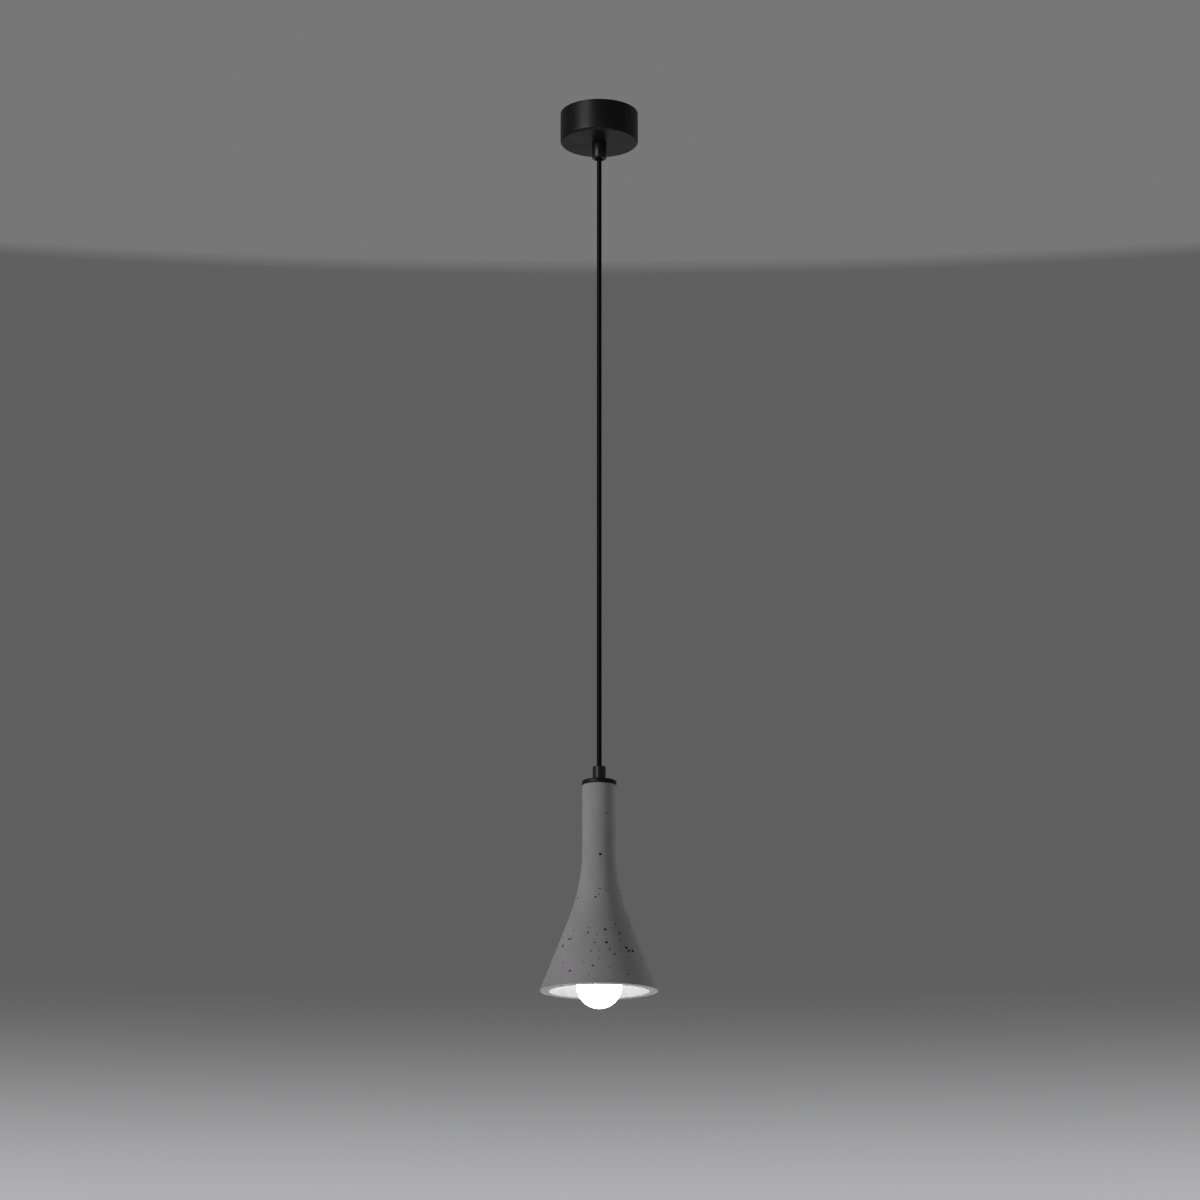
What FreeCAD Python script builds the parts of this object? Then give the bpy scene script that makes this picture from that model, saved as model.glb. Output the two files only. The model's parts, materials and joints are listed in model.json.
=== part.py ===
import FreeCAD, Part
import math
import os
from FreeCAD import Vector

# Pendant ceiling light: a slim concrete trumpet shade that hangs on one round cable from a
# ceiling canopy, with an E27 globe lamp inside. Millimetres, +Z up, and the origin is on the
# ceiling face, in the middle of the bracket. Everything hangs below it, on the Z axis.

# ---- driving dimensions -------------------------------------------------------------------

drop = 899.5  # from the canopy's underside to the shade's rim
fit_gap = 0.05  # radial, between a bore and what goes through it
screw_slot_w = 0.7
screw_slot_h = 0.9

# canopy and the steel bracket that holds it to the ceiling
canopy_d = 82.0
canopy_h = 33.0
canopy_wall = 1.2
canopy_edge_r = 1.5
bracket_w = 16.0
bracket_t = 1.5
bracket_gap = 1.0
tab_h = 20.0
slot_spacing = 50.0
slot_w = 4.5
slot_l = 14.5  # end to end
side_screw_d = 4.0
side_screw_z = 15.0
side_screw_past_tab = 1.5
flush_gap = 0.1
earth_screw_d = 4.0
earth_screw_z = 6.5
earth_head_d = 7.0
earth_head_h = 2.2

# terminal block, three ways
block_l = 33.0
block_w = 15.0
block_h = 11.0
pole_pitch = 8.0
pole_d = 5.0
pole_bore = 2.8
terminal_screw_d = 2.6
terminal_screw_inset = 4.0
lug_screw_x = 13.9
lug_screw_d = 2.5
lug_head_d = 4.5
lug_head_h = 1.6
block_edge_r = 0.8
pole_cover = 1.6  # plastic above each pole
pole_inset = 1.0
well_gap = 0.3
terminal_screw_sunk = 1.5
core_rise = 3.5  # how far each core goes on upwards out of the sheath
core_bend_r = 1.6
core_loop = 6.0  # how far the cores stand out in front of the block
core_slack_h = 4.5
core_in_pole = 4.5
earth_core_y = 9.0
earth_core_drop = 5.0

# cable, and the cord grips at its two ends
cable_d = 5.0
core_d = 1.9
core_circle_r = 1.25
upper_gland_d = 15.2
upper_gland_l = 18.0
lower_gland_d = 13.3
lower_gland_l = 16.6
gland_chamfer = 0.9
gland_thread_l = 7.0
gland_recess = 2.0
mouth_gap = 1.2  # round the cable where it bends, so that it can tilt
mouth_flare = 1.2
mouth_cone_l = 2.0
pivot_depth = 3.0  # the cable bends here, this far inside the grip's mouth
pivot_gap = 2.2  # from that point to the flat ends of the cable on both sides
pivot_ball_d = 3.8
grip_screw_d = 3.0
grip_screw_at = 9.0  # from the grip's threaded end

# M10 hollow threaded rod, washers and nuts
rod_d = 10.0
rod_bore = 7.5
nut_af = 14.0
nut_h = 3.0
washer_d = 18.0
washer_t = 1.0
rod_past_nut = 1.5
sheath_past_nipple = 2.0

# concrete shade
rim_d = 118.0
shade_h = 208.0
neck_d = 34.0
cone_angle = 21.55  # degrees, from the axis to the straight flank
blend_r = 194.0
wall = 9.5
ledge_h = 87.0  # from the rim up to the ledge that the lampholder hangs under
bore_d = 21.0
rim_edge_r = 0.9
neck_edge_r = 1.2

# cap on the neck, and the stack that clamps the concrete
cap_overhang = 0.5
cap_h = 4.5
cap_edge_r = 2.0
spigot_h = 6.0
spigot_gap = 0.3
spigot_wall = 2.0
gasket_t = 0.8
gasket_w = 3.0
ledge_washer_d = 32.0
ledge_washer_t = 1.5

# E27 lampholder
holder_d = 37.0
holder_h = 47.0
holder_cap_h = 21.0
holder_wall = 1.8
holder_pocket_gap = 1.3
holder_neck_l = 8.0
holder_neck_wall = 2.5
holder_joint_h = 4.0
holder_step_in = 2.0
holder_dome_h = 5.0
holder_lip_h = 1.0
skirt_edge_r = 0.8
shell_side_gap = 0.6
shell_bore_d = 26.9
shell_t = 0.45
shell_l = 23.0
shell_inset = 1.0
insert_h = 6.0
insert_side_gap = 0.15
insert_bore = 4.0
insert_well_d = 18.0
insert_well_h = 3.4
lamp_tip_above_shell = 2.6
contact_strip_l = 14.0
contact_strip_w = 4.0
contact_strip_t = 0.6
holder_screw_d = 3.0
holder_screw_x = 9.5
holder_screw_l = 3.8
holder_head_d = 5.4
holder_head_h = 1.5
sheath_past_rod = 1.0

# G45 lamp with an E27 cap
lamp_l = 78.0
globe_d = 45.0
globe_wall = 1.2
globe_cut_h = 39.5  # from the globe's bottom to the edge it is glued into
collar_flare_l = 8.2
collar_lip = 0.6  # how far it stands out past the cap
collar_wall = 1.5
collar_in_cap = 3.0
lamp_cap_d = 26.2
lamp_cap_l = 23.0
lamp_cap_wall = 0.5
lamp_cap_chamfer = 1.6
lamp_cap_rim_h = 2.4
tip_hole_d = 18.4
tip_cone_d = 20.0
tip_cone_top_d = 11.0
tip_cone_h = 3.3
tip_contact_d = 9.5
tip_contact_h = 0.7
tip_contact_edge_r = 0.5
led_board_d = 27.0
led_board_t = 1.4
led_size = 3.0
led_h = 0.8
board_gap = 0.1
led_circle_r = 8.5
led_count = 8
driver_w = 16.0
driver_t = 1.4
driver_l = 20.0

# ---- levels, worked out from the above ----------------------------------------------------

canopy_floor = -canopy_h
inside_floor = canopy_floor + canopy_wall
upper_mouth = canopy_floor - upper_gland_l
upper_pivot = upper_mouth + pivot_depth
rim = canopy_floor - drop
neck_top = rim + shade_h
cap_top = neck_top + cap_h
lower_base = cap_top - gland_recess
lower_mouth = lower_base + lower_gland_l
lower_pivot = lower_mouth - pivot_depth
ledge = rim + ledge_h
ledge_nut_top = ledge - gasket_t - ledge_washer_t
holder_top = ledge_nut_top - nut_h
holder_mouth = holder_top - holder_h
holder_split = holder_top - holder_cap_h
lower_rod_bottom = holder_top - holder_neck_l
shell_top = holder_mouth + shell_l + shell_inset
insert_floor = shell_top + insert_well_h
lamp_tip = shell_top + lamp_tip_above_shell
lamp_bottom = lamp_tip - lamp_l
globe_centre = lamp_bottom + globe_d / 2
lamp_cap_top = lamp_tip - tip_contact_h - tip_cone_h
lamp_cap_bottom = lamp_cap_top - lamp_cap_l
cable_middle = (upper_pivot + lower_pivot) / 2
# the outer face of each bent tab, clear of the round wall at the tab's corners
tab_face = canopy_d / 2 - canopy_wall - bracket_gap - bracket_w**2 / canopy_d / 4
sheath_top = inside_floor + washer_t + nut_h + rod_past_nut + sheath_past_nipple
holder_step_d = holder_d - 2 * holder_wall - 2 * fit_gap  # the skirt's step, inside the cap
insert_d = holder_step_d - 2 * holder_wall - 2 * insert_side_gap

X = Vector(1, 0, 0)
Y = Vector(0, 1, 0)
Z = Vector(0, 0, 1)


# ---- shape helpers ------------------------------------------------------------------------


def rod(diameter, start, end):
    """A round bar between two points."""
    way = end - start
    return Part.makeCylinder(diameter / 2, way.Length, start, way)


def disc(diameter, bottom, top):
    """A disc or bar on the Z axis, between two levels."""
    return rod(diameter, Vector(0, 0, bottom), Vector(0, 0, top))


def ring(outer_d, inner_d, bottom, top):
    return disc(outer_d, bottom, top).cut(disc(inner_d, bottom - 1, top + 1))


def cone(bottom_d, top_d, bottom, top):
    return Part.makeCone(bottom_d / 2, top_d / 2, top - bottom, Vector(0, 0, bottom), Z)


def block(size_x, size_y, bottom, top, at_x=0.0, at_y=0.0):
    """A box centred on (at_x, at_y), between two levels."""
    corner = Vector(at_x - size_x / 2, at_y - size_y / 2, bottom)
    return Part.makeBox(size_x, size_y, top - bottom, corner)


def hex_nut(bottom, top, bore_d):
    corners = [
        Vector(math.cos(a), math.sin(a), 0) * (nut_af / math.sqrt(3)) + Z * bottom
        for a in (math.radians(60 * i) for i in range(7))
    ]
    prism = Part.Face(Part.makePolygon(corners)).extrude(Z * (top - bottom))
    return prism.cut(disc(bore_d, bottom - 1, top + 1))


def turned(edges):
    """A solid of revolution from a closed outline in the XZ plane."""
    face = Part.Face(Part.Wire(Part.__sortEdges__(edges)))
    solid = face.revolve(Vector(0, 0, 0), Z, 360)
    return solid if solid.Volume > 0 else solid.reversed()


def outline(points):
    """Straight edges through (radius, level) points, closed."""
    corners = [Vector(r, 0, z) for r, z in points]
    return [Part.makeLine(a, b) for a, b in zip(corners, corners[1:] + corners[:1])]


def circles_at(shape, level, radius=None):
    """The round edges about the Z axis that lie at a level, of one radius if it is given."""
    found = []
    for edge in shape.Edges:
        curve = edge.Curve
        if not isinstance(curve, Part.Circle) or abs(curve.Center.z - level) > 1e-4:
            continue
        if abs(curve.Center.x) > 1e-4 or abs(curve.Center.y) > 1e-4:
            continue
        if radius is None or abs(curve.Radius - radius) < 1e-4:
            found.append(edge)
    return found


def lead(diameter, points, bend_r):
    """A round wire along straight runs that are joined by tangent arcs."""
    edges = []
    here = points[0]
    for before, corner, after in zip(points, points[1:], points[2:]):
        u = (before - corner).normalize()
        v = (after - corner).normalize()
        half = u.getAngle(v) / 2
        back = bend_r / math.tan(half)
        first, last = corner + u * back, corner + v * back
        centre_way = (u + v).normalize()
        middle = corner + centre_way * (bend_r / math.sin(half) - bend_r)
        edges.append(Part.makeLine(here, first))
        edges.append(Part.Arc(first, middle, last).toShape())
        here = last
    edges.append(Part.makeLine(here, points[-1]))
    path = Part.Wire(edges)
    section = Part.Wire(Part.makeCircle(diameter / 2, points[0], points[1] - points[0]))
    return path.makePipeShell([section], True, False)


def around(radius, level, degrees):
    """The point at an angle on a circle about the Z axis."""
    a = math.radians(degrees)
    return Vector(radius * math.cos(a), radius * math.sin(a), level)


# ---- canopy and bracket -------------------------------------------------------------------


def canopy_cup():
    cup = disc(canopy_d, canopy_floor, 0)
    cup = cup.makeFillet(canopy_edge_r, circles_at(cup, canopy_floor))
    hollow = disc(canopy_d - 2 * canopy_wall, inside_floor, 1)
    cup = cup.cut(hollow)
    cup = cup.cut(disc(rod_d + 2 * fit_gap, canopy_floor - 1, inside_floor + 1))
    for side in (-1, 1):
        hole_end = X * side * (canopy_d / 2 + 1)
        start = Z * -side_screw_z
        cup = cup.cut(rod(side_screw_d + 4 * fit_gap, start, start + hole_end))
    return cup


def ceiling_bracket():
    """A steel strip with two slots for ceiling screws and a bent tab at each end."""
    strip = block(2 * tab_face, bracket_w, -bracket_t, 0)
    for side in (-1, 1):
        tab = block(bracket_t, bracket_w, -tab_h, 0, side * (tab_face - bracket_t / 2))
        strip = strip.fuse(tab)
    for side in (-1, 1):
        x = side * slot_spacing / 2
        straight = slot_l - slot_w
        slot = block(straight, slot_w, -bracket_t - 1, 1, x)
        for end in (-1, 1):
            at = Vector(x + end * straight / 2, 0, -bracket_t - 1)
            slot = slot.fuse(rod(slot_w, at, at + Z * (bracket_t + 2)))
        strip = strip.cut(slot)
        way = X * side
        start = way * (tab_face - bracket_t - 1) - Z * side_screw_z
        strip = strip.cut(rod(side_screw_d, start, start + way * (bracket_t + 2)))
    at = Vector(tab_face - bracket_t - 1, 0, -earth_screw_z)
    strip = strip.cut(rod(earth_screw_d, at, at + X * (bracket_t + 2)))
    for side in (-1, 1):
        at = Vector(side * lug_screw_x, 0, -bracket_t - 1)
        strip = strip.cut(rod(lug_screw_d, at, at + Z * (bracket_t + 2)))
    return strip.removeSplitter()


def side_screws():
    """Set screws, flush with the canopy, that clamp it to the bracket's tabs."""
    screws = []
    for side in (-1, 1):
        outer = Vector(side * (canopy_d / 2 - flush_gap), 0, -side_screw_z)
        inner = Vector(side * (tab_face - bracket_t - side_screw_past_tab), 0, -side_screw_z)
        screw = rod(side_screw_d - 2 * fit_gap, outer, inner)
        slot = rod(side_screw_d / 2, outer, outer - X * side * screw_slot_h)
        screws.append(screw.cut(slot))
    return Part.makeCompound(screws)


def earth_screw():
    inside = tab_face - bracket_t
    at = Vector(inside + bracket_t, 0, -earth_screw_z)
    head_start = Vector(inside, 0, -earth_screw_z) - X * core_d
    shank = rod(earth_screw_d - 2 * fit_gap, at, head_start)
    head = rod(earth_head_d, head_start, head_start - X * earth_head_h)
    reach = earth_head_d / 2 + 1
    slot_x = head_start.x - earth_head_h + screw_slot_h / 2
    slot = block(screw_slot_h, screw_slot_w, at.z - reach, at.z + reach, slot_x)
    return shank.fuse(head).cut(slot).removeSplitter()


# ---- terminal block and leads -------------------------------------------------------------

block_top = -bracket_t
block_bottom = block_top - block_h
pole_level = block_top - pole_d / 2 - pole_cover
poles = [-pole_pitch, 0.0, pole_pitch]


def pole_bar(x, diameter, length):
    return rod(diameter, Vector(x, -length / 2, pole_level), Vector(x, length / 2, pole_level))


def screw_wells(x, diameter):
    """The two vertical holes under one pole, where its clamp screws go in."""
    inset = block_w / 2 - terminal_screw_inset
    return [
        rod(diameter, Vector(x, y, block_bottom - 1), Vector(x, y, pole_level))
        for y in (-inset, inset)
    ]


def terminal_block():
    body = block(block_l, block_w, block_bottom, block_top)
    upright = [e for e in body.Edges if e.BoundBox.ZLength > block_h / 2]
    body = body.makeFillet(block_edge_r, upright)
    for x in poles:
        body = body.cut(pole_bar(x, pole_d, block_w + 2))
        for well in screw_wells(x, terminal_screw_d + 2 * well_gap):
            body = body.cut(well)
    for side in (-1, 1):
        at = Vector(side * lug_screw_x, 0, block_bottom - 1)
        body = body.cut(rod(lug_screw_d + 2 * fit_gap, at, at + Z * (block_h + 2)))
    return body


def terminal_sleeves():
    sleeves = []
    for x in poles:
        sleeve = pole_bar(x, pole_d - 2 * fit_gap, block_w - 2 * pole_inset)
        sleeve = sleeve.cut(pole_bar(x, pole_bore, block_w + 2))
        for well in screw_wells(x, terminal_screw_d):
            sleeve = sleeve.cut(well)
        sleeves.append(sleeve)
    return Part.makeCompound(sleeves)


def terminal_screws():
    inset = block_w / 2 - terminal_screw_inset
    tip_level = pole_level - core_d / 2 - fit_gap
    head_level = block_bottom + terminal_screw_sunk
    screws = []
    for x in poles:
        for y in (-inset, inset):
            screw = rod(
                terminal_screw_d - 2 * fit_gap, Vector(x, y, head_level), Vector(x, y, tip_level)
            )
            slot_top = head_level + screw_slot_h
            slot = block(screw_slot_w, terminal_screw_d, block_bottom, slot_top, x, y)
            screws.append(screw.cut(slot))
    return Part.makeCompound(screws)


def block_screws():
    screws = []
    for side in (-1, 1):
        x = side * lug_screw_x
        head_level = block_bottom - lug_head_h
        head = rod(lug_head_d, Vector(x, 0, head_level), Vector(x, 0, block_bottom))
        shank = rod(lug_screw_d, Vector(x, 0, block_bottom), Vector(x, 0, -flush_gap))
        slot_top = head_level + screw_slot_h
        slot = block(screw_slot_w, lug_head_d + 1, head_level - 1, slot_top, x)
        screws.append(head.fuse(shank).cut(slot))
    return Part.makeCompound(screws)


def supply_core(angle, pole_x):
    """One core from the end of the sheath, out to the front and into its pole."""
    start = around(core_circle_r, sheath_top, angle)
    front = -block_w / 2 - core_loop
    points = [
        start,
        start + Z * core_rise,
        Vector(pole_x * 0.7, front, sheath_top + core_slack_h),
        Vector(pole_x, front, pole_level),
        Vector(pole_x, -block_w / 2 + core_in_pole, pole_level),
    ]
    return lead(core_d, points, core_bend_r)


def earth_core(angle):
    """The earth core, from the sheath's end to under the head of the earth screw."""
    start = around(core_circle_r, sheath_top, angle)
    eye_x = tab_face - bracket_t - core_d / 2
    points = [
        start,
        start + Z * core_rise,
        Vector(eye_x * 0.55, earth_core_y, sheath_top + core_slack_h),
        Vector(eye_x, earth_core_y * 0.6, -earth_screw_z - earth_core_drop),
        Vector(eye_x, earth_screw_d / 2 + core_d / 2 + fit_gap, -earth_screw_z),
    ]
    return lead(core_d, points, core_bend_r)


# ---- cord grips and cable -----------------------------------------------------------------


def gland(diameter, length):
    """A cord grip with its threaded end at level 0 and its bell mouth at the top."""
    body = disc(diameter, 0, length)
    body = body.makeChamfer(gland_chamfer, circles_at(body, length))
    body = body.cut(disc(rod_d, -1, gland_thread_l))
    body = body.cut(disc(cable_d + 2 * fit_gap, -1, length))
    pivot = length - pivot_depth
    cone_start = length - mouth_cone_l
    mouth_bore_d = cable_d + 2 * mouth_gap
    body = body.cut(disc(mouth_bore_d, pivot - pivot_gap, length + 1))
    body = body.cut(cone(mouth_bore_d, mouth_bore_d + 2 * mouth_flare, cone_start, length))
    screw_start = Vector(0, cable_d / 2, grip_screw_at)
    return body.cut(rod(grip_screw_d, screw_start, screw_start + Y * diameter))


def grip_screw(gland_d):
    """The plastic set screw in the back of a cord grip, tight on the cable."""
    inner = Vector(0, cable_d / 2 + fit_gap, grip_screw_at)
    outer = Vector(0, gland_d / 2 - 3 * flush_gap, grip_screw_at)
    screw = rod(grip_screw_d - 2 * fit_gap, inner, outer)
    reach = grip_screw_d / 2 + 1
    slot = block(screw_slot_w, 2 * screw_slot_h, grip_screw_at - reach, grip_screw_at + reach, 0, outer.y)
    return screw.cut(slot)


def hang_down(shape):
    """Turns a piece of the upper grip over, and sets it under the canopy."""
    shape = shape.copy()
    shape.rotate(Vector(0, 0, 0), Y, 180)
    shape.translate(Z * canopy_floor)
    return shape


def stand_up(shape):
    """Sets a piece of the lower grip in the shade's cap."""
    shape = shape.copy()
    shape.translate(Z * lower_base)
    return shape


def flex_ball(level):
    """The short bend of cable inside a grip's mouth, as the ball about which it turns."""
    return Part.makeSphere(pivot_ball_d / 2, Vector(0, 0, level))


def canopy_sheath():
    return disc(cable_d, upper_pivot + pivot_gap, sheath_top)


def shade_sheath():
    return disc(cable_d, lower_rod_bottom + sheath_past_rod, lower_pivot - pivot_gap)


# ---- the shade and what clamps it ---------------------------------------------------------

slope = math.tan(math.radians(cone_angle))


def concrete_shade():
    """A trumpet: a straight neck that an arc joins to a straight cone, bored right through."""
    half = math.radians(cone_angle / 2)
    neck_r, rim_r, bore_r = neck_d / 2, rim_d / 2, bore_d / 2
    corner_h = rim + (rim_r - neck_r) / slope
    tangent = blend_r * math.tan(half)
    full = math.radians(cone_angle)
    low = Vector(neck_r + tangent * math.sin(full), 0, corner_h - tangent * math.cos(full))
    high = Vector(neck_r, 0, corner_h + tangent)
    middle = Vector(
        neck_r + blend_r - blend_r * math.cos(half), 0, high.z - blend_r * math.sin(half)
    )
    inner_r = rim_r - wall
    pocket_r = holder_d / 2 + holder_pocket_gap
    pocket_start = rim + (inner_r - pocket_r) / slope
    points = [
        low,
        Vector(rim_r, 0, rim),
        Vector(inner_r, 0, rim),
        Vector(pocket_r, 0, pocket_start),
        Vector(pocket_r, 0, ledge),
        Vector(bore_r, 0, ledge),
        Vector(bore_r, 0, neck_top),
        Vector(neck_r, 0, neck_top),
        high,
    ]
    edges = [Part.makeLine(a, b) for a, b in zip(points, points[1:])]
    edges.append(Part.Arc(high, middle, low).toShape())
    shade = turned(edges)
    shade = shade.makeFillet(rim_edge_r, circles_at(shade, rim))
    return shade.makeFillet(neck_edge_r, circles_at(shade, neck_top, neck_r))


def shade_cap():
    cap_d = neck_d + 2 * cap_overhang
    cap = disc(cap_d, neck_top, cap_top)
    cap = cap.makeFillet(cap_edge_r, circles_at(cap, cap_top))
    spigot_d = bore_d - 2 * spigot_gap
    cap = cap.fuse(disc(spigot_d, neck_top - spigot_h, neck_top + 0.5))
    hollow_d = spigot_d - 2 * spigot_wall
    cap = cap.cut(disc(hollow_d, neck_top - spigot_h - 1, neck_top))
    cap = cap.cut(disc(rod_d + 2 * fit_gap, neck_top - 1, cap_top + 1))
    cap = cap.cut(disc(lower_gland_d + 2 * fit_gap, lower_base, cap_top + 1))
    groove = ring(bore_d + 2 * gasket_w, bore_d, neck_top - 1, neck_top + gasket_t)
    return cap.cut(groove).removeSplitter()


def cap_gasket():
    groove_gap = 2 * fit_gap
    outer_d = bore_d + 2 * gasket_w - groove_gap
    return ring(outer_d, bore_d + groove_gap, neck_top, neck_top + gasket_t)


def threaded_rod():
    return ring(rod_d, rod_bore, lower_rod_bottom, lower_base + gland_thread_l)


def nipple():
    return ring(rod_d, rod_bore, canopy_floor - gland_thread_l, sheath_top - sheath_past_nipple)


# ---- lampholder ---------------------------------------------------------------------------


def holder_cap():
    """The domed upper half of the lampholder, which screws on the rod."""
    outer_r = holder_d / 2
    inner_r = outer_r - holder_wall
    neck_r = rod_d / 2 + holder_neck_wall
    shoulder = holder_top - holder_dome_h
    dome_start = shoulder - holder_dome_h
    outer_points = [
        (0, holder_split),
        (outer_r, holder_split),
        (outer_r, dome_start),
        (neck_r + holder_neck_wall, shoulder + holder_wall),
        (neck_r, shoulder + holder_wall),
        (neck_r, holder_top),
        (0, holder_top),
    ]
    inner_points = [
        (0, holder_split - 1),
        (inner_r, holder_split - 1),
        (inner_r, dome_start - holder_wall / 2),
        (neck_r + holder_wall / 2, shoulder),
        (0, shoulder),
    ]
    body = turned(outline(outer_points)).cut(turned(outline(inner_points)))
    neck = disc(2 * neck_r, lower_rod_bottom, holder_top)
    body = body.fuse(neck).cut(disc(rod_d, lower_rod_bottom - 1, holder_top + 1))
    return body.removeSplitter()


def holder_skirt():
    """The lower half of the lampholder: a plain skirt with a step that goes into the cap."""
    skirt = ring(holder_d, holder_d - 2 * holder_wall, holder_mouth, holder_split)
    skirt = skirt.makeFillet(skirt_edge_r, circles_at(skirt, holder_mouth, holder_d / 2))
    step_bore = holder_step_d - 2 * holder_wall
    step_bottom = holder_split - holder_step_in
    step = ring(holder_step_d, step_bore, step_bottom, holder_split + holder_joint_h)
    root_d = holder_d - holder_wall  # half-way into the skirt's wall
    collar = ring(root_d, step_bore, step_bottom, holder_split)
    lip_bore = shell_bore_d + 2 * shell_t + 2 * shell_side_gap
    lip = ring(root_d, lip_bore, holder_mouth + skirt_edge_r, holder_mouth + skirt_edge_r + holder_lip_h)
    return skirt.fuse(step).fuse(collar).fuse(lip).removeSplitter()


def holder_insert():
    """The insulating disc that carries the contacts and the screw shell."""
    body = ring(insert_d, insert_bore, shell_top, shell_top + insert_h)
    body = body.cut(disc(insert_well_d, shell_top - 1, insert_floor))
    for side in (-1, 1):
        at = Vector(side * holder_screw_x, 0, shell_top + insert_h - holder_screw_l - 1)
        body = body.cut(rod(holder_screw_d, at, at + Z * insert_h))
    return body


def screw_shell():
    """The metal shell that the lamp's cap screws into."""
    outer_d = shell_bore_d + 2 * shell_t
    return ring(outer_d, shell_bore_d, holder_mouth + shell_inset, shell_top)


def centre_contact():
    """The sprung brass tongue that the lamp's tip presses on."""
    low = lamp_tip + fit_gap
    tongue = block(contact_strip_l, contact_strip_w, low, low + contact_strip_t)
    foot_x = (contact_strip_l - contact_strip_t) / 2
    foot = block(contact_strip_t, contact_strip_w, low, insert_floor, foot_x)
    return tongue.fuse(foot).removeSplitter()


def holder_screws():
    screws = []
    for side in (-1, 1):
        x = side * holder_screw_x
        seat = Vector(x, 0, shell_top + insert_h)
        shank = rod(holder_screw_d - 2 * fit_gap, seat - Z * holder_screw_l, seat)
        head = rod(holder_head_d, seat, seat + Z * holder_head_h)
        head_top = seat.z + holder_head_h
        slot = block(holder_head_d + 1, screw_slot_w, head_top - screw_slot_h, head_top + 1, x)
        screws.append(shank.fuse(head).cut(slot).removeSplitter())
    return Part.makeCompound(screws)


def holder_core(side):
    """One core, from the sheath's end down beside a terminal screw of the lampholder."""
    start = Vector(side * core_circle_r, 0, lower_rod_bottom + sheath_past_rod)
    end_level = shell_top + insert_h + core_d / 2
    end_x = side * (holder_screw_x - holder_head_d / 2 - core_d / 2 - 2 * fit_gap)
    corner = Vector(start.x, 0, end_level + core_bend_r)
    return lead(core_d, [start, corner, Vector(end_x, 0, end_level)], core_bend_r)


# ---- lamp ---------------------------------------------------------------------------------


def ball_radius_at(level, radius):
    """How far a sphere about the globe's centre reaches from the axis at a level."""
    return math.sqrt(radius**2 - (level - globe_centre) ** 2)


globe_edge = lamp_bottom + globe_cut_h


def lamp_globe():
    r = globe_d / 2
    centre = Vector(0, 0, globe_centre)
    shell = Part.makeSphere(r, centre).cut(Part.makeSphere(r - globe_wall, centre))
    return shell.common(disc(globe_d + 2, lamp_bottom - 1, globe_edge))


def lamp_collar():
    """The white housing between the globe and the cap, hollow for the driver."""
    cap_r = lamp_cap_d / 2 - lamp_cap_wall - fit_gap
    edge_r = ball_radius_at(globe_edge, globe_d / 2)
    low = globe_edge
    neck_top_level = lamp_cap_bottom + collar_in_cap
    lip_r = lamp_cap_d / 2 + collar_lip
    board_r = led_board_d / 2 + board_gap
    board_top = low + 2 * board_gap + led_board_t
    points = [
        (edge_r, low),
        (lip_r, low + collar_flare_l),
        (lip_r, lamp_cap_bottom),
        (cap_r, lamp_cap_bottom),
        (cap_r, neck_top_level),
        (cap_r - collar_wall, neck_top_level),
        (cap_r - collar_wall, board_top + collar_lip),
        (board_r, board_top),
        (board_r, low),
    ]
    return turned(outline(points))


def lamp_cap():
    """The threaded E27 shell: a plain cylinder at the thread's outer diameter."""
    shell = disc(lamp_cap_d, lamp_cap_bottom, lamp_cap_top)
    shell = shell.makeChamfer(lamp_cap_chamfer, circles_at(shell, lamp_cap_top))
    inner_d = lamp_cap_d - 2 * lamp_cap_wall
    shell = shell.cut(disc(inner_d, lamp_cap_bottom - 1, lamp_cap_top - lamp_cap_rim_h))
    return shell.cut(disc(tip_hole_d, lamp_cap_bottom - 1, lamp_cap_top + 1))


def lamp_insulator():
    """The black glass cone between the shell and the tip contact."""
    top = lamp_cap_top + tip_cone_h
    low = lamp_cap_top + fit_gap
    body = cone(tip_cone_d, tip_cone_top_d, low, top)
    plug_d = tip_hole_d - 4 * fit_gap
    return body.fuse(disc(plug_d, lamp_cap_top - lamp_cap_rim_h, low)).removeSplitter()


def lamp_contact():
    contact = disc(tip_contact_d, lamp_tip - tip_contact_h, lamp_tip)
    return contact.makeFillet(tip_contact_edge_r, circles_at(contact, lamp_tip))


def led_board():
    return disc(led_board_d, globe_edge + board_gap, globe_edge + board_gap + led_board_t)


def leds():
    top = globe_edge + board_gap
    chips = []
    for i in range(led_count):
        at = around(led_circle_r, top, 360 / led_count * i)
        chips.append(block(led_size, led_size, top - led_h, top, at.x, at.y))
    return Part.makeCompound(chips)


def led_driver():
    low = globe_edge + led_board_t + 3 * board_gap
    return block(driver_w, driver_t, low, low + driver_l)


# ---- every node ---------------------------------------------------------------------------

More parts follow.
